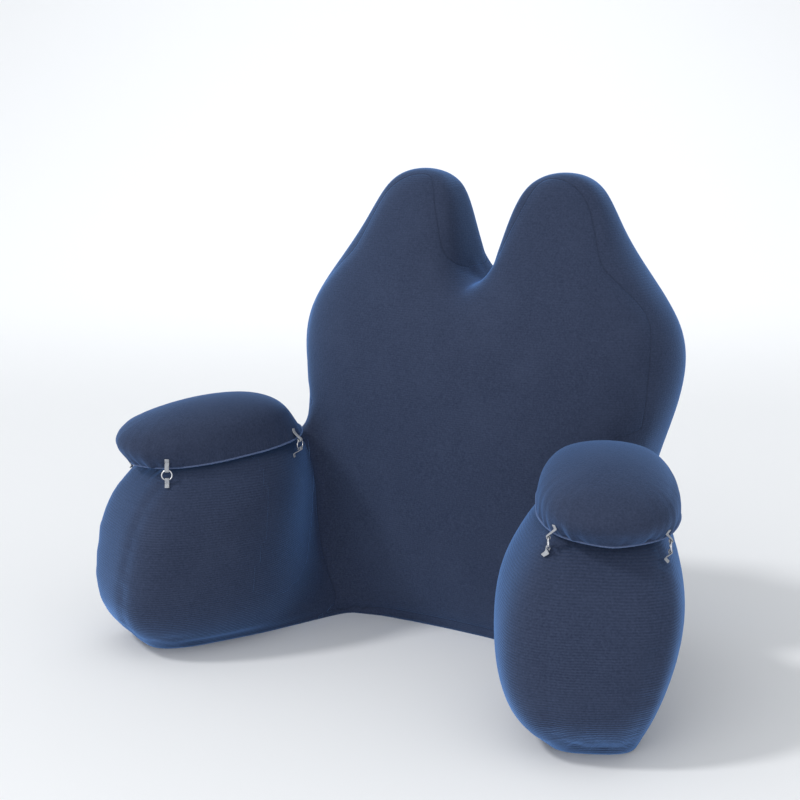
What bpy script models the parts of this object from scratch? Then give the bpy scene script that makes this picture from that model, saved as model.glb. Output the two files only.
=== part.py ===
"""Reading pillow: a winged backrest cushion with two oval arm cushions.

Metres, +Z up. The pillow faces -Y and is symmetric about X = 0, but for how far its loose front
rings are turned. The origin lies on its flat underside, under the middle of the backrest. Each
soft form is a coarse cage of cubes, whose corners are placed by rule and then rounded by
Subdivision Surface.
"""

from collections import namedtuple
from math import acos, atan, atan2, cos, pi, radians, sin

import bmesh
import bpy
from mathutils import Matrix, Vector
from mathutils.bvhtree import BVHTree

# Backrest: one row for each level of the cage, from the floor to the tips of the ears.
# front and rear are the Y of the seams round the front and rear panels. crown is how far the
# middle of each panel stands proud of its seam, and side how far the gusset does. The three X
# columns are the half widths of the notch's edge, the ear's middle and the outer edge.
Level = namedtuple("Level", "height front rear crown side notch middle edge")
BACK_LEVELS = (
    Level(0.000, -0.092, 0.080, -0.018, 0.000, 0.050, 0.105, 0.155),
    Level(0.070, -0.090, 0.102, 0.000, 0.000, 0.059, 0.127, 0.212),
    Level(0.125, -0.087, 0.106, 0.005, 0.000, 0.062, 0.138, 0.226),
    Level(0.190, -0.081, 0.105, 0.013, 0.001, 0.065, 0.146, 0.229),
    Level(0.245, -0.076, 0.098, 0.021, 0.010, 0.065, 0.150, 0.242),
    Level(0.400, -0.056, 0.105, 0.036, 0.036, 0.050, 0.150, 0.282),
    Level(0.482, -0.030, 0.088, 0.026, 0.014, 0.022, 0.135, 0.226),
    Level(0.544, -0.010, 0.070, 0.016, 0.010, 0.036, 0.112, 0.184),
    Level(0.622, 0.014, 0.066, 0.006, 0.000, 0.056, 0.108, 0.160),
)
NOTCH_DEPTH_LEVEL = 6
CROWN_BY_COLUMN = (1.0, 0.95, 0.75, 0.0)
EAR_ROUNDING = 0.012
NOTCH_FOLD = 0.010

# Arms: the middle of the right arm's top, the way it splays from the backrest's front, and a
# row for each level of its section. inner and outer are measured across the arm from its
# middle line, front is how far the front panel stands from the arm's middle, and heel is how far
# behind the middle the wall turns in to the backrest. shoulder is how far the inner wall stands
# out more there. The flat top falls towards the front, and its inner edge is drawn in where it
# meets the backrest.
ARM_MIDDLE = (0.290, -0.220)
ARM_SPLAY = radians(27.0)
ArmLevel = namedtuple("ArmLevel", "height inner outer front heel shoulder")
ARM_LEVELS = (
    ArmLevel(0.000, -0.074, 0.044, 0.114, 0.036, 0.000),
    ArmLevel(0.048, -0.123, 0.064, 0.171, 0.056, 0.000),
    ArmLevel(0.120, -0.131, 0.092, 0.160, 0.054, 0.000),
    ArmLevel(0.190, -0.119, 0.096, 0.142, 0.060, 0.020),
    ArmLevel(0.249, -0.072, 0.061, 0.087, 0.080, 0.018),
)
ARM_TOP_FALL = 0.10
ARM_TOP_CREASE = 0.7
ARM_ROOT_DRAW = 0.008
# Stations along the arm, from its rear end beside the backrest to its front. share is a part of
# the way from the arm's middle to its front, or None at the heel, and width a part of its width.
Station = namedtuple("Station", "share width")
ARM_STATIONS = (
    Station(-1.45, 1.0),
    Station(-0.75, 1.0),
    Station(None, 1.0),
    Station(0.55, 0.97),
    Station(1.00, 0.80),
)

# Arm cushions: an oval dome on a flat underside, with the seam between them at its foot. wide and
# long are each level's parts of the seam's width and length, and ahead is how far it lies before
# the seam's middle.
CUSHION_LENGTH = 0.256
CUSHION_WIDTH = 0.174
CUSHION_BASE = 0.2506
CUSHION_FORWARD = -0.011
CUSHION_ASIDE = 0.002
CUSHION_SEAM_CREASE = 1.0
CUSHION_OVAL_POWER = 3.2
CushionLevel = namedtuple("CushionLevel", "height wide long ahead crown")
CUSHION_LEVELS = (
    CushionLevel(0.000, 0.945, 0.98, -0.002, 0.000),
    CushionLevel(0.028, 0.96, 1.07, 0.020, 0.000),
    CushionLevel(0.055, 0.79, 0.86, 0.014, 0.021),
)

# Fasteners: a ring of wire between two tapes. Each tape loops round the wire, and its sewn end
# lies on the cushion above the ring or on the arm below it. The end's points are found on that
# surface by looking from the standoff in at each reach, along a line sloped by the aim.
RING_OUTER_DIAMETER = 0.015
RING_WIRE_DIAMETER = 0.0022
TAPE_WIDTH = 0.0055
TAPE_THICKNESS = 0.0008
TAPE_LOOP_TURN = radians(285.0)
TAPE_LOOP_STEPS = 9
TAPE_AIM = 0.4
TAPE_SEWN_REACH = (0.012, 0.015, 0.018)
TAPE_STANDOFF = 0.050
CLEARANCE = 0.0003
SEWN_GAP = 0.0006
# Each ring's place along, across and above the arm. It faces straight out from the arm's middle
# line, but for its turn towards the arm's front, which is given for the right and for the left
# arm. The front ones hang differently on the two arms. reach scales how far off its tapes are sewn.
Fastener = namedtuple("Fastener", "along across height right_turn left_turn reach")
FASTENERS = {
    "inner_front": Fastener(0.091, -0.067, 0.2370, radians(2.0), radians(24.0), 1.0),
    "outer_front": Fastener(0.090, 0.066, 0.2360, radians(2.0), radians(24.0), 1.0),
    "inner_rear": Fastener(-0.101, -0.068, 0.254, radians(-30.0), radians(-30.0), 0.86),
    "outer_rear": Fastener(-0.101, 0.071, 0.254, radians(-30.0), radians(-30.0), 0.86),
}

CLOTH_COLOUR = (0.040, 0.052, 0.110, 1.0)
TAPE_COLOUR = (0.62, 0.63, 0.66, 1.0)
METAL_COLOUR = (0.60, 0.60, 0.62, 1.0)


def clear_scene():
    """Remove every object that the file opened with."""
    for item in list(bpy.data.objects):
        bpy.data.objects.remove(item, do_unlink=True)


def make_material(name, colour, roughness, metallic=0.0):
    """Return a Principled material of one colour."""
    material = bpy.data.materials.new(name)
    material.use_nodes = True
    shader = material.node_tree.nodes["Principled BSDF"]
    shader.inputs["Base Color"].default_value = colour
    shader.inputs["Roughness"].default_value = roughness
    shader.inputs["Metallic"].default_value = metallic
    material.diffuse_color = colour
    return material


def block_cage(cells):
    """Return a bmesh of unit cubes, one for each cell, joined without the walls between them."""
    cage = bmesh.new()
    for cell in cells:
        centre = Vector(cell) + Vector((0.5, 0.5, 0.5))
        bmesh.ops.create_cube(cage, size=1.0, matrix=Matrix.Translation(centre))
    bmesh.ops.remove_doubles(cage, verts=cage.verts, dist=0.01)
    filled = set(cells)
    inner = []
    for face in cage.faces:
        middle = face.calc_center_median()
        both = [tuple(int(c // 1) for c in middle + face.normal * side) for side in (0.5, -0.5)]
        if all(cell in filled for cell in both):
            inner.append(face)
    bmesh.ops.delete(cage, geom=inner, context="FACES")
    return cage


def place_corners(cage, place):
    """Move each corner of a cage from its lattice place (i, j, k) to place(i, j, k)."""
    for corner in cage.verts:
        lattice = tuple(round(c) for c in corner.co)
        corner.co = place(*lattice)


def crease_edges(cage, sharpness):
    """Crease each edge by sharpness(a, b), where a and b are its ends' lattice places."""
    layer = cage.edges.layers.float.new("crease_edge")
    for edge in cage.edges:
        ends = [tuple(round(c) for c in corner.co) for corner in edge.verts]
        edge[layer] = sharpness(*ends)


def finish_mesh(cage, name):
    """Turn a bmesh into a smooth-shaded mesh, its faces pointing out."""
    bmesh.ops.recalc_face_normals(cage, faces=cage.faces)
    mesh = bpy.data.meshes.new(name)
    cage.to_mesh(mesh)
    cage.free()
    mesh.shade_smooth()
    return mesh


def add_object(name, mesh, material, collection):
    """Add an object for a mesh, in one material."""
    item = bpy.data.objects.new(name, mesh)
    if not mesh.materials:
        mesh.materials.append(material)
    collection.objects.link(item)
    return item


def subdivide(item, levels):
    """Round an object's cage."""
    modifier = item.modifiers.new("round", "SUBSURF")
    modifier.levels = levels
    modifier.render_levels = levels
    return modifier


def arm_point(along, across, height):
    """Return a point of the right arm, from its place along and across the arm."""
    forward = Vector((sin(ARM_SPLAY), -cos(ARM_SPLAY), 0.0))
    outward = Vector((cos(ARM_SPLAY), sin(ARM_SPLAY), 0.0))
    middle = Vector((*ARM_MIDDLE, height))
    return middle + forward * along + outward * across


def body_cells():
    """List the cells of the right half: the backrest's columns 0 to 2, the arm's 3 and 4."""
    cells = []
    for level in range(len(BACK_LEVELS) - 1):
        for column in range(3):
            in_notch = column == 0 and level >= NOTCH_DEPTH_LEVEL
            cells += [(column, row, level) for row in (0, 1) if not in_notch]
    for level in range(len(ARM_LEVELS) - 1):
        cells += [(column, row, level) for column in (3, 4) for row in range(-3, 1)]
    return cells


def body_corner(column, row, level):
    """Place a corner of the body's cage. Rows 0 to 2 run from front to rear."""
    if column > 3 or row < 0:
        return arm_corner(column, row, level)
    place = BACK_LEVELS[level]
    across = (0.0, place.notch, place.middle, place.edge)[column]
    crown = place.crown * CROWN_BY_COLUMN[column]
    depth = (place.front - crown, (place.front + place.rear) / 2, place.rear + crown)[row]
    height = place.height
    if column == 3 and row == 1:
        across += place.side
    if (column, row, level) == (3, 0, len(ARM_LEVELS) - 1):
        across -= ARM_ROOT_DRAW
    if level == len(BACK_LEVELS) - 1 and column != 2:
        height -= EAR_ROUNDING
    if level == NOTCH_DEPTH_LEVEL and column == 0:
        height -= NOTCH_FOLD
    return Vector((across, depth, height))


def arm_corner(column, row, level):
    """Place a corner of the arm's cage, at one of its stations."""
    place = ARM_LEVELS[level]
    station = ARM_STATIONS[1 - row]
    at_heel = station.share is None
    inner = place.inner - (place.shoulder if at_heel else 0.0)
    along = -place.heel if at_heel else station.share * place.front
    across = (inner, (inner + place.outer) / 2, place.outer)[column - 3]
    fall = ARM_TOP_FALL * along if level == len(ARM_LEVELS) - 1 else 0.0
    return arm_point(along, across * station.width, place.height - fall)


def body_crease(start, end):
    """Crease the flat underside's sewn edge, the notch's bottom fold and the arm top's edge."""
    on_base = start[2] == 0 and end[2] == 0
    in_fold = all(point[0] == 0 and point[2] == NOTCH_DEPTH_LEVEL for point in (start, end))
    if on_base or in_fold:
        return 1.0
    on_top = start[2] == end[2] == len(ARM_LEVELS) - 1
    along_side = start[0] == end[0] in (3, 5) and min(start[1], end[1]) < 0
    along_end = start[1] == end[1] == -3 and min(start[0], end[0]) >= 3
    return ARM_TOP_CREASE if on_top and (along_side or along_end) else 0.0


def build_body(material, collection):
    """Build the filled backrest with its ears and arms."""
    cage = block_cage(body_cells())
    crease_edges(cage, body_crease)
    plane = [face for face in cage.faces if all(abs(v.co.x) < 0.01 for v in face.verts)]
    bmesh.ops.delete(cage, geom=plane, context="FACES")
    place_corners(cage, body_corner)
    body = add_object("body", finish_mesh(cage, "body"), material, collection)
    mirror = body.modifiers.new("other half", "MIRROR")
    mirror.merge_threshold = 0.0001
    subdivide(body, 2)
    return body


def oval_share(other):
    """Return how far an oval reaches one way, at a share of its reach the other way."""
    return (1.0 - abs(other) ** CUSHION_OVAL_POWER / 2.0) ** (1.0 / CUSHION_OVAL_POWER)


def cushion_corner(column, row, level):
    """Place a corner of the arm cushion's cage on its oval, in the cushion's own frame."""
    place = CUSHION_LEVELS[level]
    u = column - 1.0
    v = (row - 1.5) / 1.5
    across = u * oval_share(v) * CUSHION_WIDTH / 2.0
    along = v * oval_share(u) * CUSHION_LENGTH / 2.0
    inside = column == 1 and row in (1, 2)
    height = place.height + (place.crown if inside else 0.0)
    return Vector((across * place.wide, along * place.long - place.ahead, height))


def cushion_crease(start, end):
    """Crease the seam round the cushion, where its dome meets its underside."""
    return CUSHION_SEAM_CREASE if start[2] == 0 and end[2] == 0 else 0.0


def build_arm_cushions(material, collection):
    """Build the two arm cushions, each turned to lie along its arm."""
    cells = [(column, row, level) for column in (0, 1) for row in (0, 1, 2) for level in (0, 1)]
    cushions = {}
    for side_name, side in (("right", 1.0), ("left", -1.0)):
        name = f"arm_cushion_{side_name}"
        cage = block_cage(cells)
        crease_edges(cage, cushion_crease)
        place_corners(cage, cushion_corner)
        cushion = add_object(name, finish_mesh(cage, name), material, collection)
        cushion.location = arm_point(CUSHION_FORWARD, CUSHION_ASIDE, CUSHION_BASE)
        cushion.location.x *= side
        cushion.rotation_euler = (atan(ARM_TOP_FALL), 0.0, side * ARM_SPLAY)
        subdivide(cushion, 2)
        cushions[side_name] = cushion
    return cushions


def surface_tree(item):
    """Return a search tree of an object's finished surface, in world space."""
    bpy.context.view_layer.update()
    shape = bmesh.new()
    shape.from_object(item, bpy.context.evaluated_depsgraph_get())
    shape.transform(item.matrix_world)
    tree = BVHTree.FromBMesh(shape)
    shape.free()
    return tree


def tape_path(ring_centre, outward, way, scale, tree):
    """Return a line along a tape: its sewn end on a surface, then its loop round the wire.

    way is 1 for the tape above the ring and -1 for the one below it. scale is that of the
    reaches.
    """
    up = Vector((0.0, 0.0, way))
    wire_radius = RING_WIRE_DIAMETER / 2.0
    ring_radius = RING_OUTER_DIAMETER / 2.0 - wire_radius
    wire_sag = ring_radius - (ring_radius ** 2 - (TAPE_WIDTH / 2.0) ** 2) ** 0.5
    loop_radius = wire_radius + wire_sag / 2.0 + CLEARANCE + TAPE_THICKNESS / 2.0
    loop_centre = ring_centre + up * (ring_radius - wire_sag / 2.0)
    aim = (up * TAPE_AIM - outward).normalized()
    sewn = []
    for reach in reversed(TAPE_SEWN_REACH):
        start = ring_centre + up * reach * scale - aim * TAPE_STANDOFF
        hit, normal, _, _ = tree.ray_cast(start, aim)
        sewn.append(hit + normal * (SEWN_GAP + TAPE_THICKNESS / 2.0))
    leave = sewn[-1] - loop_centre
    heading = atan2(leave.dot(outward), leave.dot(up))
    tangent = heading + acos(loop_radius / leave.length)
    loop = []
    for step in range(TAPE_LOOP_STEPS + 1):
        angle = tangent + TAPE_LOOP_TURN * step / TAPE_LOOP_STEPS
        loop.append(loop_centre + (up * cos(angle) + outward * sin(angle)) * loop_radius)
    return sewn + loop


def add_tape(name, centre, outward, way, scale, tree, material, collection):
    """Add a tape: a strip whose two edges each follow a path, made thick by Solidify."""
    half = outward.cross(Vector((0.0, 0.0, 1.0))) * TAPE_WIDTH / 2.0
    edges = [tape_path(centre + shift, outward, way, scale, tree) for shift in (-half, half)]
    steps = len(edges[0]) - 1
    strip = bmesh.new()
    bmesh.ops.create_grid(strip, x_segments=steps, y_segments=1, size=0.5)
    for corner in strip.verts:
        step = round((corner.co.x + 0.5) * steps)
        corner.co = edges[corner.co.y > 0.0][step]
    tape = add_object(name, finish_mesh(strip, name), material, collection)
    shell = tape.modifiers.new("cloth", "SOLIDIFY")
    shell.thickness = TAPE_THICKNESS
    shell.offset = 0.0


def add_ring(name, centre, outward, material, collection):
    """Add a ring of wire, its hole facing away from the arm."""
    wire_radius = RING_WIRE_DIAMETER / 2.0
    bpy.ops.mesh.primitive_torus_add(
        major_radius=RING_OUTER_DIAMETER / 2.0 - wire_radius,
        minor_radius=wire_radius,
        major_segments=20,
        minor_segments=6,
        location=centre,
        rotation=outward.to_track_quat("Z", "Y").to_euler(),
    )
    ring = bpy.context.object
    ring.name = name
    ring.data.shade_smooth()
    ring.data.materials.append(material)
    for holder in list(ring.users_collection):
        holder.objects.unlink(ring)
    collection.objects.link(ring)


def build_fasteners(body, cushions, tape_cloth, metal, collection):
    """Build each arm's four rings, and the two tapes through each."""
    arm = surface_tree(body)
    for side_name, side in (("right", 1.0), ("left", -1.0)):
        mirrored = Matrix.Scale(side, 3, Vector((1.0, 0.0, 0.0)))
        cushion = surface_tree(cushions[side_name])
        for place, seat in FASTENERS.items():
            centre = mirrored @ arm_point(seat.along, seat.across, seat.height)
            turn = seat.right_turn if side > 0 else seat.left_turn
            facing = ARM_SPLAY - turn if seat.across > 0 else pi + ARM_SPLAY + turn
            outward = mirrored @ Vector((cos(facing), sin(facing), 0.0))
            name = f"{side_name}_{place}"
            add_ring(f"ring_{name}", centre, outward, metal, collection)
            for what, way, tree in (("cushion", 1.0, cushion), ("arm", -1.0, arm)):
                tape = f"{what}_tape_{name}"
                add_tape(tape, centre, outward, way, seat.reach, tree, tape_cloth, collection)


def main():
    """Build the pillow."""
    clear_scene()
    collection = bpy.data.collections.new("reading_pillow")
    bpy.context.scene.collection.children.link(collection)
    cloth = make_material("ribbed_cloth", CLOTH_COLOUR, 0.85)
    cushion_cloth = make_material("cushion_cloth", CLOTH_COLOUR, 0.85)
    tape_cloth = make_material("tape_cloth", TAPE_COLOUR, 0.8)
    metal = make_material("ring_metal", METAL_COLOUR, 0.25, 1.0)
    body = build_body(cloth, collection)
    cushions = build_arm_cushions(cushion_cloth, collection)
    build_fasteners(body, cushions, tape_cloth, metal, collection)


if __name__ == "__main__":
    main()
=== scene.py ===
"""A reading pillow in ribbed velvet, standing on a pale sweep in soft studio light.

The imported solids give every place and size. Each filled form is cut again from its solid with a
finer surface, filled, sewn along its seams and dressed in its cloth. Metres, +Z up, and the
pillow faces -Y.
"""

import logging
from collections.abc import Mapping, Sequence
from dataclasses import dataclass, field
from enum import Enum
from math import cos, pi, radians, sin, tan
from typing import Any, Union

import bmesh
import bpy
import numpy as np
from mathutils import Matrix, Vector, noise
from mathutils.bvhtree import BVHTree


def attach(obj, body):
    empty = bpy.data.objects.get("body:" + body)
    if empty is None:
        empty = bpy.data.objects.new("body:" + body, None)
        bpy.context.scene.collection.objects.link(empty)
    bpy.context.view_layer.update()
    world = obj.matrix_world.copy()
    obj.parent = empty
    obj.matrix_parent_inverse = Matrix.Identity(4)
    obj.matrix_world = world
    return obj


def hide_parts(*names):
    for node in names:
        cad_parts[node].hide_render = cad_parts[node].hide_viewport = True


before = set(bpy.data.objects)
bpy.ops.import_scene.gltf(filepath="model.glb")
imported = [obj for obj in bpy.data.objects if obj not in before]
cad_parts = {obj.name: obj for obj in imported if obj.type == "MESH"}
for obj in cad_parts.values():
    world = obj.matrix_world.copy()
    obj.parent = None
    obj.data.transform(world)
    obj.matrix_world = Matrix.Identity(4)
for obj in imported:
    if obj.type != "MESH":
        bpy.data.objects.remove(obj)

LOG = logging.getLogger("reading_pillow")
Colour = tuple[float, float, float, float]


class Side(Enum):
    """The pillow's two sides, each with its sign along X."""

    RIGHT = 1.0
    LEFT = -1.0

    @property
    def word(self) -> str:
        """The side's name, as the nodes spell it."""
        return self.name.lower()


class Corner(Enum):
    """The four corners of an arm cushion that are fastened down, as the nodes spell them."""

    INNER_FRONT = "inner_front"
    OUTER_FRONT = "outer_front"
    INNER_REAR = "inner_rear"
    OUTER_REAR = "outer_rear"


def flat_array(mesh: bpy.types.Mesh, what: str) -> np.ndarray:
    """Read a mesh's vertex places or normals.

    Args:
        mesh: The mesh.
        what: "co" for places or "normal" for normals.

    Returns:
        One row of three numbers for each vertex.
    """
    found = np.empty(len(mesh.vertices) * 3)
    source = mesh.vertices if what == "co" else mesh.vertex_normals
    source.foreach_get("co" if what == "co" else "vector", found)
    return found.reshape(-1, 3)


def move_to(mesh: bpy.types.Mesh, places: np.ndarray) -> None:
    """Move a mesh's vertices.

    Args:
        mesh: The mesh.
        places: The new place of each vertex.
    """
    mesh.vertices.foreach_set("co", places.ravel())
    mesh.update()


def ease(values: np.ndarray, low: float, high: float) -> np.ndarray:
    """Rise smoothly from 0 at low to 1 at high.

    Args:
        values: The numbers to ease.
        low: Where the rise starts.
        high: Where it ends, which may be the lower of the two.

    Returns:
        Numbers from 0 to 1.
    """
    share = np.clip((values - low) / (high - low), 0.0, 1.0)
    return share * share * (3.0 - 2.0 * share)


def keep_number(mesh: bpy.types.Mesh, name: str, values: np.ndarray) -> None:
    """Store one number for each vertex, for the materials to read."""
    layer = mesh.attributes.new(name, "FLOAT", "POINT")
    layer.data.foreach_set("value", np.ascontiguousarray(values, dtype=np.float32))


def keep_vector(mesh: bpy.types.Mesh, name: str, values: np.ndarray) -> None:
    """Store one vector for each vertex, for the materials to read."""
    layer = mesh.attributes.new(name, "FLOAT_VECTOR", "POINT")
    layer.data.foreach_set("vector", np.ascontiguousarray(values, dtype=np.float32).ravel())


def link(name: str, data: Any) -> bpy.types.Object:
    """Add an object to the scene."""
    item = bpy.data.objects.new(name, data)
    bpy.context.scene.collection.objects.link(item)
    return item


@dataclass(frozen=True)
class ArmFrame:
    """An arm's own directions, with its origin on the floor under the middle of its top."""

    side: Side
    middle: tuple[float, float] = (0.290, -0.220)
    splay: float = radians(27.0)
    fall: float = 0.10

    @property
    def forward(self) -> Vector:
        """The way the arm points."""
        return Vector((self.side.value * sin(self.splay), -cos(self.splay), 0.0))

    @property
    def outward(self) -> Vector:
        """The way across the arm, away from the seat."""
        return Vector((self.side.value * cos(self.splay), sin(self.splay), 0.0))

    @property
    def origin(self) -> Vector:
        """The arm's origin."""
        return Vector((self.side.value * self.middle[0], self.middle[1], 0.0))

    @property
    def up(self) -> Vector:
        """The way square to the arm's top, which falls towards the front."""
        return (self.forward * self.fall + Vector((0.0, 0.0, 1.0))).normalized()

    def local(self, places: np.ndarray) -> np.ndarray:
        """Turn world places into places along, across and above the arm.

        Args:
            places: One world place in each row.

        Returns:
            One row of along, across and height for each.
        """
        apart = places - np.array(self.origin)
        return np.stack(
            (apart @ np.array(self.forward), apart @ np.array(self.outward), places[:, 2]), axis=1
        )


@dataclass(frozen=True)
class View:
    """A flat view of a form, in which a seam's outline is drawn."""

    origin: Vector
    right: Vector
    look: Vector
    up: Vector = field(default_factory=lambda: Vector((0.0, 0.0, 1.0)))
    reach: float = 1.0

    def flat(self, places: np.ndarray) -> np.ndarray:
        """Give the places' two coordinates in the view.

        Args:
            places: One world place in each row.

        Returns:
            One row of two numbers for each.
        """
        apart = places - np.array(self.origin)
        return np.stack((apart @ np.array(self.right), apart @ np.array(self.up)), axis=1)

    def lay(self, outline: np.ndarray, cloth: BVHTree) -> np.ndarray:
        """Lay an outline on the cloth, straight along the view.

        Args:
            outline: The outline's points in the view.
            cloth: The form's surface.

        Returns:
            The points on the cloth.
        """
        laid = []
        for across, high in outline:
            start = self.origin + self.right * across + self.up * high - self.look * self.reach
            hit, _, _, _ = cloth.ray_cast(start, self.look)
            if hit is not None:
                laid.append(hit)
        return np.array(laid)


def smooth_loop(corners: Sequence[tuple[float, float]], spacing: float) -> np.ndarray:
    """Draw a smooth closed line through points.

    Args:
        corners: The points it passes, in order.
        spacing: About how far apart its own points are.

    Returns:
        The line's points, one in each row.
    """
    knots = np.array(corners)
    drawn = []
    for index, start in enumerate(knots):
        before, end, after = (knots[(index + step) % len(knots)] for step in (-1, 1, 2))
        steps = max(1, round(float(np.linalg.norm(end - start)) / spacing))
        for share in np.arange(steps) / steps:
            square, cube = share * share, share ** 3
            drawn.append(
                0.5
                * (
                    2.0 * start
                    + (end - before) * share
                    + (2.0 * before - 5.0 * start + 4.0 * end - after) * square
                    + (3.0 * start - before - 3.0 * end + after) * cube
                )
            )
    return np.array(drawn)


@dataclass
class Seam:
    """A closed sewn line on the cloth.

    Attributes:
        points: The line's points on the cloth.
        gather: How strongly the cloth gathers along it, from 0 to 1.
        stitch: How deep its groove lies and how dark its painted shade is, from 0 to 1.
        view: The flat view it was drawn in, or None for a line round a form.
        up: The way up from a line round a form.
    """

    points: np.ndarray
    gather: float
    stitch: float
    view: Union[View, None] = None
    up: Vector = field(default_factory=lambda: Vector((0.0, 0.0, 1.0)))

    def nearest(self, places: np.ndarray) -> tuple[np.ndarray, np.ndarray]:
        """Find each place's nearest point on the seam.

        Args:
            places: One world place in each row.

        Returns:
            The distances, below zero inside the seam, and the nearest points.
        """
        best = np.full(len(places), np.inf)
        near = np.zeros_like(places)
        for start, end in zip(self.points, np.roll(self.points, -1, axis=0)):
            span = end - start
            share = np.clip((places - start) @ span / max(span @ span, 1e-12), 0.0, 1.0)
            point = start + share[:, None] * span
            apart = np.linalg.norm(places - point, axis=1)
            closer = apart < best
            best[closer] = apart[closer]
            near[closer] = point[closer]
        return np.where(self.inside(places, near), -best, best), near

    def inside(self, places: np.ndarray, near: np.ndarray) -> np.ndarray:
        """Tell which places lie inside the seam.

        Args:
            places: One world place in each row.
            near: Each place's nearest point on the seam.

        Returns:
            True or False for each.
        """
        if self.view is None:
            return (places - near) @ np.array(self.up) < 0.0
        flat = self.view.flat(places)
        outline = self.view.flat(self.points)
        within = np.zeros(len(places), dtype=bool)
        for start, end in zip(outline, np.roll(outline, -1, axis=0)):
            spans = (start[1] > flat[:, 1]) != (end[1] > flat[:, 1])
            rise = end[1] - start[1]
            if rise == 0.0:
                continue
            crossing = start[0] + (flat[:, 1] - start[1]) * (end[0] - start[0]) / rise
            within ^= spans & (flat[:, 0] < crossing)
        return within


class Value:
    """A number that varies over a surface, which Python's operators build on."""

    def __init__(self, recipe: "Recipe", socket: bpy.types.NodeSocket) -> None:
        """Wrap a socket.

        Args:
            recipe: The material's nodes.
            socket: The output that gives the number.
        """
        self.recipe = recipe
        self.socket = socket

    def math(self, operation: str, *others: Any, first: Any = None) -> "Value":
        """Add a Math node.

        Args:
            operation: The node's operation.
            others: The numbers after the first.
            first: The first number, if it isn't this one.

        Returns:
            The node's result.
        """
        inputs = [self if first is None else first, *others]
        made = self.recipe.node(
            "ShaderNodeMath", {"operation": operation}, dict(enumerate(inputs))
        )
        return Value(self.recipe, made.outputs[0])

    def __add__(self, other: Any) -> "Value":
        """Add."""
        return self.math("ADD", other)

    def __radd__(self, other: float) -> "Value":
        """Add to a plain number."""
        return self.math("ADD", other)

    def __sub__(self, other: Any) -> "Value":
        """Subtract."""
        return self.math("SUBTRACT", other)

    def __rsub__(self, other: float) -> "Value":
        """Subtract from a plain number."""
        return self.math("SUBTRACT", self, first=other)

    def __mul__(self, other: Any) -> "Value":
        """Multiply."""
        return self.math("MULTIPLY", other)

    def __rmul__(self, other: float) -> "Value":
        """Multiply a plain number."""
        return self.math("MULTIPLY", other)

    def __truediv__(self, other: Any) -> "Value":
        """Divide."""
        return self.math("DIVIDE", other)

    def size(self) -> "Value":
        """Drop the sign."""
        return self.math("ABSOLUTE")

    def wave(self) -> "Value":
        """Take the sine."""
        return self.math("SINE")

    def fade(self, reach: float) -> "Value":
        """Fall from 1 at zero towards 0 further off.

        Args:
            reach: Where little more than a third is left.

        Returns:
            The faded number.
        """
        return self.math("EXPONENT", first=self.size() / -reach)


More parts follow.
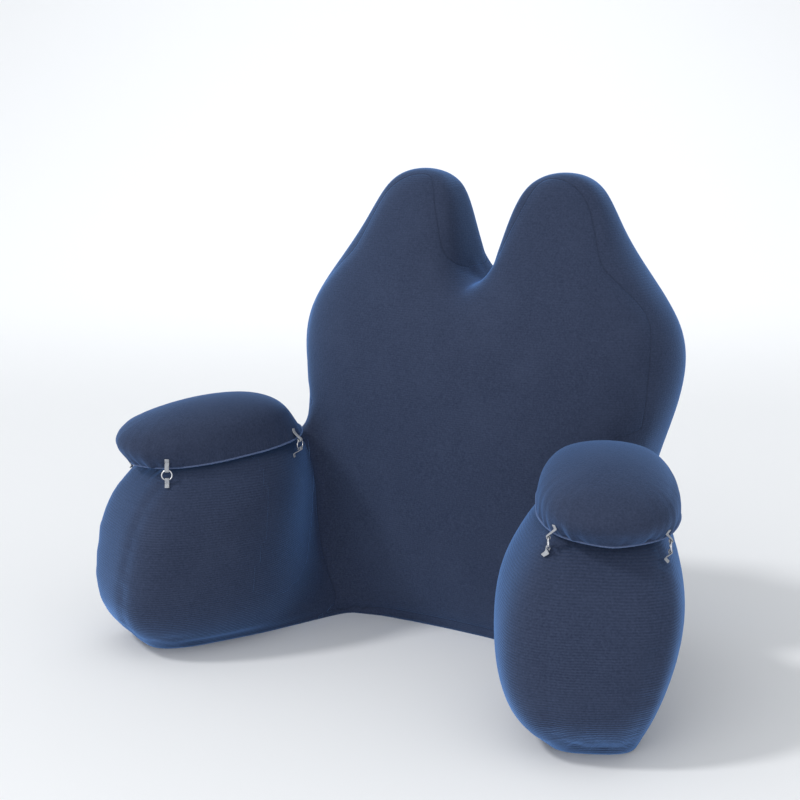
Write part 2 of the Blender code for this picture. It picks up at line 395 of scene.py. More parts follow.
class Recipe:
    """The nodes of one material."""

    def __init__(self, name: str) -> None:
        """Start a material.

        Args:
            name: The material's name.
        """
        self.material = bpy.data.materials.new(name)
        self.material.use_nodes = True
        self.tree = self.material.node_tree
        self.shader = self.tree.nodes["Principled BSDF"]

    def node(
        self, kind: str, settings: Mapping[str, Any], inputs: Mapping[Any, Any]
    ) -> bpy.types.Node:
        """Add a node.

        Args:
            kind: The node's type.
            settings: What is set on the node itself.
            inputs: The value or the link of each socket, by its name or its number.

        Returns:
            The node.
        """
        made = self.tree.nodes.new(kind)
        for key, setting in settings.items():
            setattr(made, key, setting)
        for key, given in inputs.items():
            self.feed(self.socket(made, key), given)
        return made

    @staticmethod
    def socket(made: bpy.types.Node, key: Any) -> bpy.types.NodeSocket:
        """Find one of a node's inputs.

        Args:
            made: The node.
            key: The input's number, its identifier or its name.

        Returns:
            The input.
        """
        if isinstance(key, int):
            return made.inputs[key]
        named = [item for item in made.inputs if item.identifier == key]
        return named[0] if named else made.inputs[key]

    def feed(self, socket: bpy.types.NodeSocket, given: Any) -> None:
        """Set a socket's value, or link what gives it.

        Args:
            socket: The socket.
            given: The value, or the number or output to link.
        """
        if isinstance(given, Value):
            given = given.socket
        if isinstance(given, bpy.types.NodeSocket):
            self.tree.links.new(given, socket)
        else:
            socket.default_value = given

    def stored(self, name: str) -> Value:
        """Read a number that the mesh stores."""
        made = self.node("ShaderNodeAttribute", {"attribute_name": name}, {})
        return Value(self, made.outputs["Fac"])

    def stored_vector(self, name: str) -> bpy.types.NodeSocket:
        """Read a vector that the mesh stores."""
        made = self.node("ShaderNodeAttribute", {"attribute_name": name}, {})
        return made.outputs["Vector"]

    def place(self) -> bpy.types.NodeSocket:
        """Read the place on the object, in metres."""
        return self.node("ShaderNodeTexCoord", {}, {}).outputs["Object"]

    def grain(self, where: bpy.types.NodeSocket, size: float, detail: float = 2.0) -> Value:
        """Add noise.

        Args:
            where: The place that it is read at.
            size: How large its grains are, in metres.
            detail: How much finer noise it holds.

        Returns:
            Numbers from 0 to 1, mostly near 0.5.
        """
        made = self.node(
            "ShaderNodeTexNoise", {}, {"Vector": where, "Scale": 1.0 / size, "Detail": detail}
        )
        return Value(self, made.outputs[0])

    def blend(self, low: Any, high: Any, share: Any) -> bpy.types.NodeSocket:
        """Go from one colour to another.

        Args:
            low: The colour at a share of 0.
            high: The colour at a share of 1.
            share: The share.

        Returns:
            The mixed colour.
        """
        made = self.node(
            "ShaderNodeMix",
            {"data_type": "RGBA"},
            {"Factor_Float": share, "A_Color": low, "B_Color": high},
        )
        return made.outputs[2]

    def relief(self, height: Value, strength: float = 1.0) -> None:
        """Raise the surface.

        Args:
            height: How far, in millimetres.
            strength: How plainly, from 0 to 1.
        """
        made = self.node(
            "ShaderNodeBump", {}, {"Height": height, "Distance": 0.001, "Strength": strength}
        )
        self.feed(self.shader.inputs["Normal"], made.outputs[0])

    def constants(self, values: Mapping[str, Any]) -> None:
        """Set the shader's sockets that are the same all over."""
        for name, given in values.items():
            self.shader.inputs[name].default_value = given


@dataclass(frozen=True)
class RibbedVelvet:
    """Dark blue velvet in fine ribs, with a blue bloom where it is seen edge on.

    Sizes along the cloth are in metres, and the heights of its relief in millimetres.

    Attributes:
        pitch: How far apart the ribs are.
        valley: The colour between the ribs: painted shade in their hollows.
        crest: The colour on top of them, painted light on the ribs; the nap's lighter tufts take
            it too.
        worn: The colour where the nap is brushed.
        rib_height: How high a rib stands.
        rib_shade_share: The share of the colour that the ribs' painted light and shade take. The
            nap's random tone has the rest.
        wander: How far a rib strays from its line.
        wander_size: How long such a stray is.
        crush_size: How large the places are where the ribs fade.
        crush_gain: How plain the ribs are, at most.
        nap_size: How large the tufts of the nap are.
        nap_height: How high they stand.
        nap_contrast: How much darker and lighter they are.
        patch_size: How large the brushed places are.
        seam_width: How wide a seam's line is.
        seam_shade: The painted shade in its groove.
        seam_depth: How deep it lies.
        lap_height: How high the cloth beside it is raised.
        pucker_size: How wide a pucker is.
        pucker_height: How high it stands.
        pucker_reach: How far from the seam it runs.
        bloom: How strong the bloom is, from 0 to 1.
        bloom_width: How far round the edge it reaches, from 0 to 1.
        bloom_colour: Its colour.
    """

    pitch: float = 0.0030
    valley: Colour = (0.017, 0.024, 0.048, 1.0)
    crest: Colour = (0.041, 0.054, 0.099, 1.0)
    worn: Colour = (0.050, 0.066, 0.117, 1.0)
    rib_height: float = 0.45
    rib_shade_share: float = 0.54
    wander: float = 0.0011
    wander_size: float = 0.030
    crush_size: float = 0.045
    crush_gain: float = 1.5
    nap_size: float = 0.0022
    nap_height: float = 0.38
    nap_contrast: float = 3.2
    patch_size: float = 0.060
    seam_width: float = 0.0011
    seam_shade: Colour = (0.008, 0.010, 0.020, 1.0)
    seam_depth: float = 0.9
    lap_height: float = 0.25
    pucker_size: float = 0.007
    pucker_height: float = 1.6
    pucker_reach: float = 0.012
    bloom: float = 0.9
    bloom_width: float = 0.42
    bloom_colour: Colour = (0.22, 0.46, 1.0, 1.0)

    def make(self, name: str) -> bpy.types.Material:
        """Make the material.

        Args:
            name: The material's name.

        Returns:
            The material.
        """
        recipe = Recipe(name)
        place = recipe.place()
        drift = (recipe.grain(place, self.wander_size) - 0.5) * self.wander * 2.0
        crushed = recipe.grain(place, self.crush_size) * self.crush_gain
        plain = recipe.stored("rib_share") * crushed
        rib = ((recipe.stored("rib") + drift) * (2.0 * pi / self.pitch)).wave() * plain * 0.5 + 0.5
        seam = recipe.stored("seam")
        # The seam's groove, which is also painted darker as shade.
        line = seam.fade(self.seam_width) * recipe.stored("stitch")
        lap = (seam - self.seam_width * 2.2).fade(self.seam_width * 1.4)
        gather = recipe.stored("gather")
        pucker = recipe.grain(recipe.stored_vector("seam_point"), self.pucker_size, 1.0) - 0.5
        pucker_share = seam.fade(self.pucker_reach) * gather
        nap = recipe.grain(place, self.nap_size, 3.0)
        patch = recipe.grain(place, self.patch_size, 3.0)
        fuzz = (nap - 0.5) * self.nap_contrast + 0.5
        # Painted light and shade of the ribs, mixed with the nap's random tone.
        lit = rib * self.rib_shade_share + fuzz * (1.0 - self.rib_shade_share)
        body = recipe.blend(self.valley, self.crest, lit)
        worn = recipe.blend(body, self.worn, (patch - 0.45) * 1.4 * rib)
        # Painted shade along each seam's groove.
        sewn = recipe.blend(worn, self.seam_shade, line * 0.75)
        recipe.feed(recipe.shader.inputs["Base Color"], sewn)
        recipe.feed(recipe.shader.inputs["Roughness"], 0.92 - nap * 0.14)
        height = (
            rib * self.rib_height
            + nap * self.nap_height
            + pucker * pucker_share * self.pucker_height
            + lap * recipe.stored("stitch") * self.lap_height
            - line * self.seam_depth
        )
        recipe.relief(height)
        recipe.constants(
            {
                "Specular IOR Level": 0.12,
                "Sheen Weight": self.bloom,
                "Sheen Roughness": self.bloom_width,
                "Sheen Tint": self.bloom_colour,
            }
        )
        return recipe.material


@dataclass(frozen=True)
class WovenTape:
    """Light grey woven tape."""

    shade: Colour = (0.49, 0.51, 0.54, 1.0)
    gap: Colour = (0.26, 0.27, 0.30, 1.0)
    thread: float = 0.0005

    def make(self, name: str) -> bpy.types.Material:
        """Make the material.

        Args:
            name: The material's name.

        Returns:
            The material.
        """
        recipe = Recipe(name)
        place = recipe.place()
        parts = recipe.node("ShaderNodeSeparateXYZ", {}, {"Vector": place})
        turns = 2.0 * pi / self.thread
        across = Value(recipe, parts.outputs["X"]) + Value(recipe, parts.outputs["Y"])
        warp = (across * turns).wave()
        weft = (Value(recipe, parts.outputs["Z"]) * turns).wave()
        thread = warp * weft * 0.5 + 0.5
        fray = recipe.grain(place, 0.002)
        colour = recipe.blend(self.gap, self.shade, thread * 0.5 + fray * 0.6)
        recipe.feed(recipe.shader.inputs["Base Color"], colour)
        recipe.feed(recipe.shader.inputs["Roughness"], 0.8 - thread * 0.1)
        recipe.relief(thread * 0.12 + fray * 0.1)
        recipe.constants({"Sheen Weight": 0.2, "Sheen Roughness": 0.4})
        return recipe.material


@dataclass(frozen=True)
class DrawnWire:
    """Bright drawn wire, a little scuffed."""

    metal: Colour = (0.72, 0.72, 0.74, 1.0)
    tarnish: Colour = (0.40, 0.40, 0.42, 1.0)

    def make(self, name: str) -> bpy.types.Material:
        """Make the material.

        Args:
            name: The material's name.

        Returns:
            The material.
        """
        recipe = Recipe(name)
        scuff = recipe.grain(recipe.place(), 0.0015, 4.0)
        colour = recipe.blend(self.metal, self.tarnish, (scuff - 0.5) * 1.2 + 0.2)
        recipe.feed(recipe.shader.inputs["Base Color"], colour)
        recipe.feed(recipe.shader.inputs["Roughness"], scuff * 0.25 + 0.14)
        recipe.relief(scuff * 0.03)
        recipe.constants({"Metallic": 1.0})
        return recipe.material


@dataclass(frozen=True)
class PaleSweep:
    """The studio's pale paper floor, which rises behind the pillow."""

    shade: Colour = (0.86, 0.87, 0.885, 1.0)

    def make(self, name: str) -> bpy.types.Material:
        """Make the material.

        Args:
            name: The material's name.

        Returns:
            The material.
        """
        recipe = Recipe(name)
        recipe.constants({"Base Color": self.shade, "Roughness": 0.9, "Specular IOR Level": 0.1})
        return recipe.material


@dataclass
class FilledForm:
    """A sewn and filled cloth form, cut from its solid.

    Attributes:
        name: The piece's name.
        node: The solid that it stands for.
        finer: How many times its surface is divided.
        swell: How far the filling may push the cloth.
        fill: How tightly it is filled, from 0 to 1. Not used.
        flat_edge: How far above the underside a vertex still counts as part of it.
        pressure: The pressure of the filling.
        fill_steps: How many steps the filling takes.
    """

    name: str
    node: str
    finer: int = 2
    swell: float = 0.003
    fill: float = 0.8
    flat_edge: float = 1e-4
    pressure: float = 4.0
    fill_steps: int = 20

    @property
    def up(self) -> Vector:
        """The way square to the form's flat underside."""
        return Vector((0.0, 0.0, 1.0))

    def rise(self, places: np.ndarray) -> np.ndarray:
        """Measure how far places lie above the form's flat underside.

        Args:
            places: One world place in each row.

        Returns:
            The distances.
        """
        heights = places @ np.array(self.up)
        return heights - heights.min()

    def cut(self) -> bpy.types.Mesh:
        """Copy the solid's surface, in four-sided faces, its flat underside's edge kept sharp.

        Returns:
            The copy.
        """
        shape = bmesh.new()
        shape.from_mesh(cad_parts[self.node].data)
        bmesh.ops.remove_doubles(shape, verts=shape.verts, dist=1e-5)
        bmesh.ops.join_triangles(
            shape,
            faces=shape.faces,
            angle_face_threshold=radians(40.0),
            angle_shape_threshold=radians(60.0),
        )
        shape.to_mesh(mesh := bpy.data.meshes.new(self.name))
        shape.free()
        mesh.materials.clear()
        return mesh

    def sharpen(self, mesh: bpy.types.Mesh) -> None:
        """Crease the edge of the flat underside.

        Args:
            mesh: The form's mesh.
        """
        shape = bmesh.new()
        shape.from_mesh(mesh)
        old = shape.edges.layers.float.get("crease_edge")
        layer = old or shape.edges.layers.float.new("crease_edge")
        floor = min(corner.co.dot(self.up) for corner in shape.verts) + self.flat_edge
        for edge in shape.edges:
            flats = [
                all(corner.co.dot(self.up) < floor for corner in face.verts)
                for face in edge.link_faces
            ]
            edge[layer] = 1.0 if any(flats) and not all(flats) else 0.0
        shape.to_mesh(mesh)
        shape.free()

    def divide(self, mesh: bpy.types.Mesh, times: int) -> bpy.types.Mesh:
        """Divide a mesh into a finer, smoother one.

        Args:
            mesh: The mesh, which is removed.
            times: How many times each face is divided.

        Returns:
            The finer mesh.
        """
        self.sharpen(mesh)
        item = link("uncut", mesh)
        rounding = item.modifiers.new("round", "SUBSURF")
        rounding.levels = rounding.render_levels = times
        bpy.context.view_layer.update()
        finer = bpy.data.meshes.new_from_object(
            item.evaluated_get(bpy.context.evaluated_depsgraph_get())
        )
        bpy.data.objects.remove(item)
        bpy.data.meshes.remove(mesh)
        finer.name = self.name
        finer.shade_smooth()
        return finer

    def stuff(self, mesh: bpy.types.Mesh, held: np.ndarray) -> bpy.types.Mesh:
        """Fill the form: swell its cloth under a little pressure, but where it is held.

        Args:
            mesh: The form's mesh.
            held: How firmly each vertex is held, from 0 to 1.

        Returns:
            The filled mesh.
        """
        rest = flat_array(mesh, "co")
        item = link("unfilled", mesh)
        group = item.vertex_groups.new(name="held")
        for index in np.flatnonzero(held > 0.01):
            group.add([int(index)], float(held[index]), "REPLACE")
        cloth = item.modifiers.new("fill", "CLOTH")
        cloth.settings.use_pressure = True
        cloth.settings.uniform_pressure_force = self.pressure
        cloth.settings.effector_weights.gravity = 0.0
        cloth.settings.vertex_group_mass = "held"
        cloth.settings.quality = 5
        cloth.collision_settings.use_collision = False
        cloth.point_cache.frame_end = self.fill_steps
        scene = bpy.context.scene
        for step in range(self.fill_steps):
            scene.frame_set(step + 1)
        filled = bpy.data.meshes.new_from_object(
            item.evaluated_get(bpy.context.evaluated_depsgraph_get())
        )
        moved = flat_array(filled, "co") - rest
        length = np.linalg.norm(moved, axis=1)
        cap = self.swell / np.maximum(length, self.swell)
        bpy.data.objects.remove(item)
        scene.frame_set(1)
        move_to(filled, rest + moved * cap[:, None])
        LOG.info("%s: filled, its cloth moved %.1f mm at most", self.name, 1e3 * length.max())
        return filled

    def dress(
        self, mesh: bpy.types.Mesh, seams: Sequence[Seam], cloth: bpy.types.Material
    ) -> bpy.types.Object:
        """Sew the form, store what its cloth's material reads, and add it to the scene.

        Args:
            mesh: The form's mesh.
            seams: Its sewn lines.
            cloth: Its material.

        Returns:
            The piece.
        """
        places = flat_array(mesh, "co")
        normals = flat_array(mesh, "normal")
        distance = np.full(len(places), np.inf)
        near = np.zeros_like(places)
        gather = np.zeros(len(places))
        stitch = np.zeros(len(places))
        for seam in seams:
            apart, point = seam.nearest(places)
            closer = np.abs(apart) < np.abs(distance)
            distance[closer] = apart[closer]
            near[closer] = point[closer]
            gather[closer] = seam.gather
            stitch[closer] = seam.stitch
        pushed = self.relief(places, normals, distance, near, gather)
        move_to(mesh, places + normals * pushed[:, None])
        keep_number(mesh, "seam", distance)
        keep_number(mesh, "gather", gather)
        keep_number(mesh, "stitch", stitch)
        keep_vector(mesh, "seam_point", near)
        for name, values in self.ribs(places, normals).items():
            keep_number(mesh, name, values)
        mesh.materials.append(cloth)
        piece = link(self.name, mesh)
        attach(piece, "root")
        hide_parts(self.node)
        LOG.info("%s: %d faces", self.name, len(mesh.polygons))
        return piece

    def relief(self, places: np.ndarray, normals: np.ndarray, distance: np.ndarray,
               near: np.ndarray, gather: np.ndarray) -> np.ndarray:
        """Say how far each vertex is pushed out by the sewing."""
        raise NotImplementedError

    def ribs(self, places: np.ndarray, normals: np.ndarray) -> dict[str, np.ndarray]:
        """Say how the ribs run."""
        raise NotImplementedError

    @staticmethod
    def folds(near: np.ndarray, size: float, seed: float) -> np.ndarray:
        """Make gathers that start from a seam.

        Args:
            near: Each vertex's nearest point on the seam.
            size: How wide a fold is.
            seed: What tells one form's folds from another's.

        Returns:
            Numbers from about -1 to 1.
        """
        shift = Vector((seed, seed * 1.7, seed * 2.3))
        return np.array([noise.noise(Vector(point) / size + shift) for point in near])


@dataclass
class PillowBody(FilledForm):
    """The backrest with its two ears, and the two arms sewn to it.

    Attributes:
        arm_top: The height under which the arms hide the backrest's front seam.
        fold_depth: How far before the origin the fold between arm and backrest lies.
        clear_depth: How far before the origin the front view starts, behind the arms.
        seam_draw: How deep the sewing draws the cloth in.
        seam_reach: How far from a seam that goes.
        fold_size: How wide a gather is.
        fold_height: How high it stands.
        fold_reach: How far from the seam it runs.
        back_ribs: How plainly the ribs show on the backrest.
        arm_ribs: How plainly they show on the arms.
        back_outline: Half the front panel's seam, across and up, from the floor to the notch.
        end_outline: An arm's end panel's seam, across the arm and up.
    """

    name: str = "pillow_body"
    node: str = "body"
    arm_top: float = 0.30
    fold_depth: float = 0.106
    clear_depth: float = 0.14
    seam_draw: float = 0.0014
    seam_reach: float = 0.011
    fold_size: float = 0.011
    fold_height: float = 0.0016
    fold_reach: float = 0.016
    back_ribs: float = 0.25
    arm_ribs: float = 0.65
    back_outline: tuple[tuple[float, float], ...] = (
        (0.150, 0.006),
        (0.166, 0.030),
        (0.186, 0.080),
        (0.196, 0.125),
        (0.209, 0.198),
        (0.222, 0.238),
        (0.246, 0.275),
        (0.257, 0.315),
        (0.261, 0.370),
        (0.259, 0.412),
        (0.251, 0.440),
        (0.235, 0.461),
        (0.212, 0.482),
        (0.190, 0.502),
        (0.179, 0.522),
        (0.167, 0.552),
        (0.153, 0.580),
        (0.134, 0.598),
        (0.108, 0.608),
        (0.081, 0.602),
        (0.060, 0.556),
        (0.042, 0.512),
        (0.027, 0.493),
        (0.012, 0.482),
    )
    end_outline: tuple[tuple[float, float], ...] = (
        (-0.052, 0.232),
        (-0.062, 0.205),
        (-0.067, 0.165),
        (-0.068, 0.105),
        (-0.062, 0.055),
        (-0.045, 0.024),
        (-0.006, 0.013),
        (0.026, 0.020),
        (0.036, 0.055),
        (0.046, 0.108),
        (0.054, 0.155),
        (0.058, 0.200),
        (0.050, 0.233),
        (0.000, 0.236),
    )

    def seams(self, cloth: BVHTree) -> list[Seam]:
        """Lay the seams of the front, rear and end panels.

        Args:
            cloth: The body's surface.

        Returns:
            The seams.
        """
        half = list(self.back_outline)
        whole = half + [(-across, high) for across, high in reversed(half)]
        outline = smooth_loop(whole, 0.005)
        right = Vector((1.0, 0.0, 0.0))
        front = View(Vector(), right, Vector((0.0, 1.0, 0.0)), reach=self.clear_depth)
        rear = View(Vector(), right, Vector((0.0, -1.0, 0.0)))
        found = [
            Seam(self.front_line(front, outline, cloth), 0.10, 0.55, front),
            Seam(rear.lay(outline, cloth), 0.10, 0.55, rear),
        ]
        end = smooth_loop(self.end_outline, 0.005)
        for side in Side:
            arm = ArmFrame(side)
            view = View(arm.origin, arm.outward, -arm.forward)
            found.append(Seam(view.lay(end, cloth), 1.0, 0.08, view))
        return found

    def front_line(self, view: View, outline: np.ndarray, cloth: BVHTree) -> np.ndarray:
        """Lay the front panel's seam, down into the fold where the arms meet the backrest.

        Args:
            view: The view from the front, from behind the arms.
            outline: The seam's outline.
            cloth: The body's surface.

        Returns:
            The seam's points on the cloth.
        """
        laid = []
        for point in outline:
            across, high = (float(number) for number in point)
            if high > self.arm_top:
                laid.extend(view.lay(np.array([point]), cloth))
            else:
                laid.append(cloth.find_nearest(Vector((across, -self.fold_depth, high)))[0])
        return np.array(laid)

    def relief(self, places: np.ndarray, normals: np.ndarray, distance: np.ndarray,
               near: np.ndarray, gather: np.ndarray) -> np.ndarray:
        """Draw the cloth in along its seams, and gather it there.

        Args:
            places: The vertices' places.
            normals: Their normals. Not used.
            distance: How far each is from its nearest seam.
            near: The nearest point there.
            gather: How strongly that seam gathers.

        Returns:
            How far each vertex is pushed out.
        """
        off = np.abs(distance)
        drawn = -self.seam_draw * np.exp(-((off / self.seam_reach) ** 2))
        folds = self.folds(near, self.fold_size, 3.0) * np.exp(-off / self.fold_reach)
        free = ease(places[:, 2], 0.002, 0.012)
        return (drawn + self.fold_height * folds * gather) * free

    def ribs(self, places: np.ndarray, normals: np.ndarray) -> dict[str, np.ndarray]:
        """Run the ribs level round the walls, plainest on the arms.

        Args:
            places: The vertices' places.
            normals: Their normals.

        Returns:
            The numbers to store, by name.
        """
        on_wall = 1.0 - ease(np.abs(normals[:, 2]), 0.70, 0.92)
        on_arm = ease(-places[:, 1], 0.12, 0.24)
        plain = self.back_ribs + (self.arm_ribs - self.back_ribs) * on_arm
        return {"rib": places[:, 2], "rib_share": plain * on_wall}

    def build(self, cloth: bpy.types.Material) -> bpy.types.Object:
        """Build the body.

        Args:
            cloth: Its material.

        Returns:
            The piece.
        """
        mesh = self.divide(self.cut(), self.finer - 1)
        held = 1.0 - ease(flat_array(mesh, "co")[:, 2], 0.001, 0.020)
        mesh = self.divide(self.stuff(mesh, held), 1)
        seams = self.seams(surface(mesh))
        return self.dress(mesh, seams, cloth)


def surface(mesh: bpy.types.Mesh) -> BVHTree:
    """Make a search tree of a mesh.

    Args:
        mesh: The mesh.

    Returns:
        The tree.
    """
    shape = bmesh.new()
    shape.from_mesh(mesh)
    tree = BVHTree.FromBMesh(shape)
    shape.free()
    return tree


@dataclass
class ArmCushion(FilledForm):
    """A domed oval arm cushion, gathered into the seam round its foot.

    Attributes:
        side: The arm that it lies on.
        seam_height: How far above the underside the seam lies.
        rim_points: How many points the seam has.
        bead_radius: How thick the seam's rolled edge is.
        held_reach: How far above the underside the seam still holds the cloth.
        fold_size: How wide a gather is.
        fold_height: How high it stands.
        fold_reach: How far from the seam it runs.
        rib_share: How plainly the ribs show.
    """

    name: str = "arm_cushion"
    node: str = "arm_cushion_right"
    side: Side = Side.RIGHT
    finer: int = 3
    swell: float = 0.002
    fill: float = 0.85
    seam_height: float = 0.0010
    rim_points: int = 120
    bead_radius: float = 0.0012
    held_reach: float = 0.010
    fold_size: float = 0.0105
    fold_height: float = 0.0052
    fold_reach: float = 0.019
    rib_share: float = 0.14

    @property
    def arm(self) -> ArmFrame:
        """The arm that the cushion lies on."""
        return ArmFrame(self.side)

    @property
    def up(self) -> Vector:
        """The way square to the cushion's underside."""
        return self.arm.up

    def rim(self, mesh: bpy.types.Mesh) -> np.ndarray:
        """Find the line of the seam round the cushion's foot.

        Args:
            mesh: The cushion's mesh.

        Returns:
            The line's points.
        """
        cloth = surface(mesh)
        places = flat_array(mesh, "co")
        underside = places[self.rise(places) < self.flat_edge]
        middle = Vector((underside.min(axis=0) + underside.max(axis=0)) / 2.0)
        middle += self.up * (places @ np.array(self.up)).min() - self.up * middle.dot(self.up)
        ahead = self.arm.outward.cross(self.up)
        points = []
        for step in range(self.rim_points):
            angle = 2.0 * pi * step / self.rim_points
            out = ahead * cos(angle) + self.arm.outward * sin(angle)
            start = middle + self.up * self.seam_height + out * 0.5
            points.append(cloth.ray_cast(start, -out)[0])
        return np.array(points)

    def relief(self, places: np.ndarray, normals: np.ndarray, distance: np.ndarray,
               near: np.ndarray, gather: np.ndarray) -> np.ndarray:
        """Gather the dome's cloth into its seam.

        Args:
            places: The vertices' places. Not used.
            normals: Their normals. Not used.
            distance: How far each is from the seam, below zero under it.
            near: The nearest point there.
            gather: How strongly the seam gathers. Not used.

        Returns:
            How far each vertex is pushed out.
        """
        off = np.abs(distance)
        folds = self.folds(near, self.fold_size, 7.0 + self.side.value)
        above = np.where(distance > 0.0, 1.0, 0.0)
        rise = ease(off, 0.0, 0.004) * np.exp(-off / self.fold_reach)
        front = 0.3 + 0.7 * ease(self.arm.local(near)[:, 0], 0.02, 0.08)
        return self.fold_height * folds * rise * above * front

    def ribs(self, places: np.ndarray, normals: np.ndarray) -> dict[str, np.ndarray]:
        """Run the ribs across the arm, and on down over the cushion's two ends.

        Args:
            places: The vertices' places.
            normals: Their normals. Not used.

        Returns:
            The numbers to store, by name.
        """
        along = self.arm.local(places)[:, 0]
        rise = self.rise(places)
        down = (rise.max() - rise) * ease(np.abs(along), 0.04, 0.11)
        share = np.full(len(places), self.rib_share)
        return {"rib": along + np.sign(along) * down, "rib_share": share}

    def build(self, cloth: bpy.types.Material, edge: bpy.types.Material) -> bpy.types.Object:
        """Build the cushion and the bead of its seam.

        Args:
            cloth: Its material.
            edge: Its seam's material, a lighter velvet: painted sheen on the bead.

        Returns:
            The cushion.
        """
        mesh = self.divide(self.cut(), self.finer - 1)
        held = np.exp(-((self.rise(flat_array(mesh, "co")) / self.held_reach) ** 2))
        mesh = self.divide(self.stuff(mesh, held), 1)
        rim = self.rim(mesh)
        piece = self.dress(mesh, [Seam(rim, 1.0, 0.0, up=self.up)], cloth)
        self.bead(rim, edge)
        return piece

    def bead(self, rim: np.ndarray, edge: bpy.types.Material) -> None:
        """Build the rolled edge of the seam.

        Args:
            rim: The seam's points.
            edge: Its material, a lighter velvet: painted sheen on the bead.
        """
        curve = bpy.data.curves.new(f"{self.name}_rim", "CURVE")
        curve.dimensions = "3D"
        curve.bevel_depth = self.bead_radius
        curve.bevel_resolution = 3
        spline = curve.splines.new("POLY")
        spline.points.add(len(rim) - 1)
        spline.use_cyclic_u = True
        for point, place in zip(spline.points, rim):
            point.co = (*place, 1.0)
        curve.materials.append(edge)
        bead = link(f"{self.name}_rim", curve)
        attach(bead, "root")


@dataclass
class Fastener:
    """A ring of wire and the two tapes through it, on one corner of an arm cushion.

    Attributes:
        side: The arm that it is on.
        place: Where it is on the arm, as the nodes spell it.
        ring_steps: How many steps the ring is turned in.
        wire_steps: How many sides its wire has.
    """

    side: Side
    place: Corner
    ring_steps: int = 56
    wire_steps: int = 14

    def ring(self, metal: bpy.types.Material) -> bpy.types.Object:
        """Build the ring, turned about the axis of its solid.

        Args:
            metal: Its material.

        Returns:
            The piece.
        """
        node = f"ring_{self.side.word}_{self.place.value}"
        places = flat_array(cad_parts[node].data, "co")
        centre = (places.min(axis=0) + places.max(axis=0)) / 2.0
        apart = places - centre
        axis = np.linalg.eigh(apart.T @ apart)[1][:, 0]
        wire = float(np.abs(apart @ axis).max())
        outer = float(np.linalg.norm(apart, axis=1).max())
        turn = Vector(axis).to_track_quat("Z", "Y").to_matrix().to_4x4()
        shape = bmesh.new()
        bmesh.ops.create_circle(
            shape,
            segments=self.wire_steps,
            radius=wire,
            matrix=Matrix.Translation((outer - wire, 0.0, 0.0)) @ Matrix.Rotation(pi / 2, 4, "X"),
        )
        bmesh.ops.spin(
            shape,
            geom=list(shape.verts) + list(shape.edges),
            axis=(0.0, 0.0, 1.0),
            angle=2.0 * pi,
            steps=self.ring_steps,
            use_merge=True,
        )
        bmesh.ops.remove_doubles(shape, verts=shape.verts, dist=1e-6)
        bmesh.ops.recalc_face_normals(shape, faces=shape.faces)
        shape.transform(Matrix.Translation(centre) @ turn)
        mesh = bpy.data.meshes.new(node)
        shape.to_mesh(mesh)
        shape.free()
        mesh.shade_smooth()
        mesh.materials.append(metal)
        return self.stand_for(link(f"wire_{node}", mesh), node, "ring_metal")

    def tape(self, what: str, weave: bpy.types.Material) -> bpy.types.Object:
        """Build a tape: its solid, rounded as soft tape.

        Args:
            what: "cushion" or "arm", for what it is sewn to.
            weave: Its material.

        Returns:
            The piece.
        """
        node = f"{what}_tape_{self.side.word}_{self.place.value}"
        shape = bmesh.new()
        shape.from_mesh(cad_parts[node].data)
        bmesh.ops.remove_doubles(shape, verts=shape.verts, dist=1e-6)
        bmesh.ops.join_triangles(
            shape,
            faces=shape.faces,
            angle_face_threshold=radians(35.0),
            angle_shape_threshold=radians(60.0),
        )
        layer = shape.edges.layers.float.new("crease_edge")
        for edge in shape.edges:
            if len(edge.link_faces) == 2 and edge.calc_face_angle() > radians(60.0):
                edge[layer] = 0.7
        mesh = bpy.data.meshes.new(node)
        shape.to_mesh(mesh)
        shape.free()
        mesh.shade_smooth()
        mesh.materials.clear()
        mesh.materials.append(weave)
        piece = link(f"woven_{node}", mesh)
        rounding = piece.modifiers.new("round", "SUBSURF")
        rounding.levels = rounding.render_levels = 2
        return self.stand_for(piece, node, "tape_cloth")

    @staticmethod
    def stand_for(piece: bpy.types.Object, node: str, slot: str) -> bpy.types.Object:
        """Let a piece take a solid's place.

        Args:
            piece: The piece.
            node: The solid.
            slot: Not used.

        Returns:
            The piece.
        """
        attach(piece, "root")
        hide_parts(node)
        return piece

    def build(self, metal: bpy.types.Material, weave: bpy.types.Material) -> None:
        """Build the ring and its tapes.

        Args:
            metal: The ring's material.
            weave: The tapes' material.
        """
        self.ring(metal)
        self.tape("cushion", weave)
        self.tape("arm", weave)
        LOG.info("fastener %s %s", self.side.word, self.place.value)


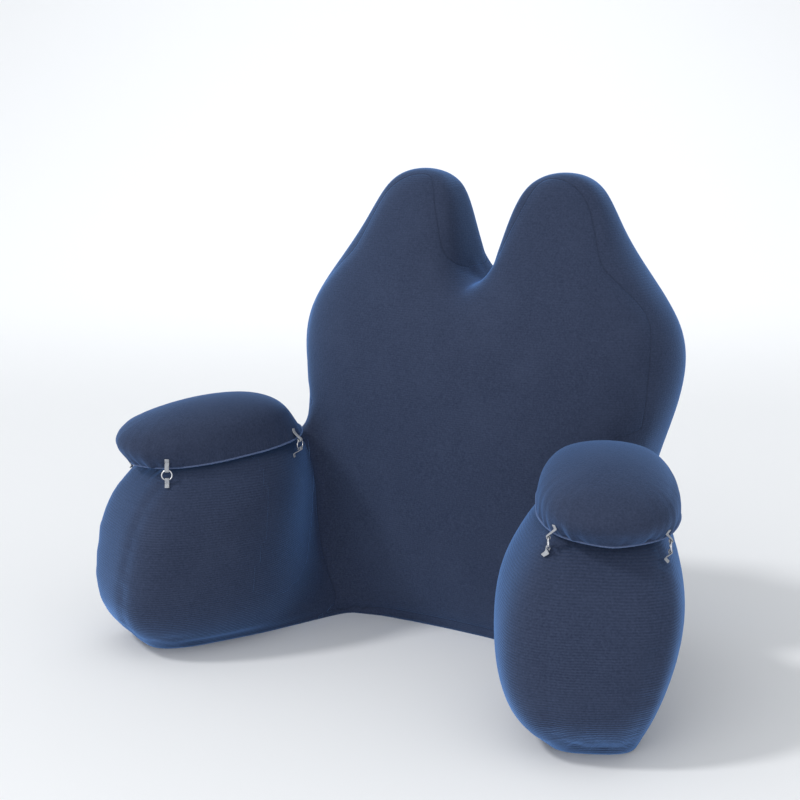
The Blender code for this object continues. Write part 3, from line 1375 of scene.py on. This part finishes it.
@dataclass
class Studio:
    """The pale sweep, the lights and the camera.

    Attributes:
        pan: How far round to the right the camera stands.
        tilt: How far it looks down.
        field: How wide it sees.
        stand: Where it stands.
        floor_half: Half the sweep's width, and how far it runs to the front.
        sweep_start: How far behind the pillow the sweep starts to rise.
        sweep_radius: The radius of its bend.
        sweep_steps: How many steps the bend has.
        wall_height: How high it rises above the bend.
        key_from: The way to the key light.
        key_power: The key light's power.
        key_width: How wide it looks.
        surroundings: How bright the surroundings are.
        fill_place: Where the fill lamp stands.
        fill_aim: The point on the lower backrest that it faces.
        fill_size: Its width.
        fill_power: Its power in watts.
        wall_share: How far towards the wall the wall lamp hangs, as a share of the way.
        wall_lamp_height: How high it hangs.
        wall_aim_height: How high up the wall it aims.
        wall_size: Its width.
        wall_power: Its power in watts.
    """

    pan: float = radians(31.8)
    tilt: float = radians(12.0)
    field: float = radians(30.0)
    stand: tuple[float, float, float] = (0.96, -1.75, 0.73)
    floor_half: float = 6.0
    sweep_start: float = 3.0
    sweep_radius: float = 1.5
    sweep_steps: int = 16
    wall_height: float = 4.0
    key_from: tuple[float, float, float] = (-0.50, -0.42, 0.755)
    key_power: float = 1.02
    surroundings: float = 0.765
    key_width: float = radians(9.0)
    fill_place: tuple[float, float, float] = (0.1, -2.2, 0.5)
    fill_aim: tuple[float, float, float] = (0.0, -0.1, 0.15)
    fill_size: float = 1.4
    fill_power: float = 11.0
    wall_share: float = 0.62
    wall_lamp_height: float = 2.5
    wall_aim_height: float = 1.5
    wall_size: float = 2.5
    wall_power: float = 18.0

    def camera(self) -> None:
        """Set up the camera where the photograph was taken from."""
        back = Vector(
            (sin(self.pan) * cos(self.tilt), -cos(self.pan) * cos(self.tilt), sin(self.tilt))
        )
        right = Vector((cos(self.pan), sin(self.pan), 0.0))
        lens = bpy.data.cameras.new("camera")
        lens.sensor_width = 36.0
        lens.lens = 18.0 / tan(self.field / 2.0)
        item = link("camera", lens)
        turn = Matrix((right, back.cross(right), back)).transposed().to_4x4()
        item.matrix_world = Matrix.Translation(self.stand) @ turn
        bpy.context.scene.camera = item

    def floor(self) -> None:
        """Build the sweep: a level floor that curves up into a wall."""
        away = Vector((-sin(self.pan), cos(self.pan), 0.0))
        side = Vector((away.y, -away.x, 0.0))
        profile = [Vector((-self.floor_half, 0.0)), Vector((self.sweep_start, 0.0))]
        for step in range(1, self.sweep_steps + 1):
            angle = pi / 2.0 * step / self.sweep_steps
            profile.append(
                Vector(
                    (
                        self.sweep_start + self.sweep_radius * sin(angle),
                        self.sweep_radius * (1.0 - cos(angle)),
                    )
                )
            )
        profile.append(profile[-1] + Vector((0.0, self.wall_height)))
        shape = bmesh.new()
        line = [
            shape.verts.new(away * far + Vector((0.0, 0.0, high)) - side * self.floor_half)
            for far, high in profile
        ]
        edges = [shape.edges.new(pair) for pair in zip(line, line[1:])]
        swept = bmesh.ops.extrude_edge_only(shape, edges=edges)["geom"]
        moved = [item for item in swept if isinstance(item, bmesh.types.BMVert)]
        bmesh.ops.translate(shape, verts=moved, vec=side * self.floor_half * 2.0)
        bmesh.ops.recalc_face_normals(shape, faces=shape.faces)
        mesh = bpy.data.meshes.new("sweep")
        shape.to_mesh(mesh)
        shape.free()
        mesh.shade_smooth()
        mesh.materials.append(PaleSweep().make("pale_sweep"))
        link("sweep", mesh)

    def lamp(self, name: str, place: Vector, aim: Vector, size: float, power: float) -> None:
        """Add a soft square white light.

        Args:
            name: Its name.
            place: Where it stands.
            aim: The point that it faces.
            size: Its width.
            power: Its power in watts.
        """
        light = bpy.data.lights.new(name, "AREA")
        light.size = size
        light.energy = power
        item = link(name, light)
        item.location = place
        item.rotation_euler = (aim - place).to_track_quat("-Z", "Y").to_euler()

    def key(self) -> None:
        """Add the key light: a soft sun, high on the left."""
        light = bpy.data.lights.new("key", "SUN")
        light.energy = self.key_power
        light.angle = self.key_width
        item = link("key", light)
        item.rotation_euler = Vector(self.key_from).to_track_quat("Z", "Y").to_euler()

    def lights(self) -> None:
        """Set up the bright surroundings, the key light and the two lamps."""
        world = bpy.data.worlds.new("surroundings")
        world.use_nodes = True
        backdrop = world.node_tree.nodes["Background"]
        backdrop.inputs["Color"].default_value = (0.96, 0.98, 1.0, 1.0)
        backdrop.inputs["Strength"].default_value = self.surroundings
        bpy.context.scene.world = world
        self.key()
        self.lamp(
            "fill", Vector(self.fill_place), Vector(self.fill_aim), self.fill_size, self.fill_power
        )
        up = Vector((0.0, 0.0, 1.0))
        away = Vector((-sin(self.pan), cos(self.pan), 0.0))
        wall = away * (self.sweep_start + self.sweep_radius)
        hung = wall * self.wall_share + up * self.wall_lamp_height
        aimed = wall + up * self.wall_aim_height
        self.lamp("wall", hung, aimed, self.wall_size, self.wall_power)

    def build(self) -> None:
        """Set up the studio."""
        self.camera()
        self.floor()
        self.lights()
        bpy.context.scene.view_settings.view_transform = "Standard"


def main() -> None:
    """Build the pillow and the studio."""
    logging.basicConfig(level=logging.INFO, format="%(message)s")
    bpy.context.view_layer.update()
    velvet = RibbedVelvet().make("ribbed_velvet")
    dome = RibbedVelvet(bloom=0.5).make("dome_velvet")
    # A lighter velvet for the seam's bead: painted sheen along the cushion's rim.
    edge = RibbedVelvet(
        valley=(0.070, 0.092, 0.170, 1.0), crest=(0.130, 0.170, 0.290, 1.0)
    ).make("seam_edge_velvet")
    weave = WovenTape().make("woven_tape")
    metal = DrawnWire().make("drawn_wire")
    PillowBody().build(velvet)
    for side in Side:
        name = f"arm_cushion_{side.word}"
        ArmCushion(name=f"domed_{name}", node=name, side=side).build(dome, edge)
        for place in Corner:
            Fastener(side, place).build(metal, weave)
    Studio().build()
    bpy.context.view_layer.update()


if __name__ == "__main__":
    main()
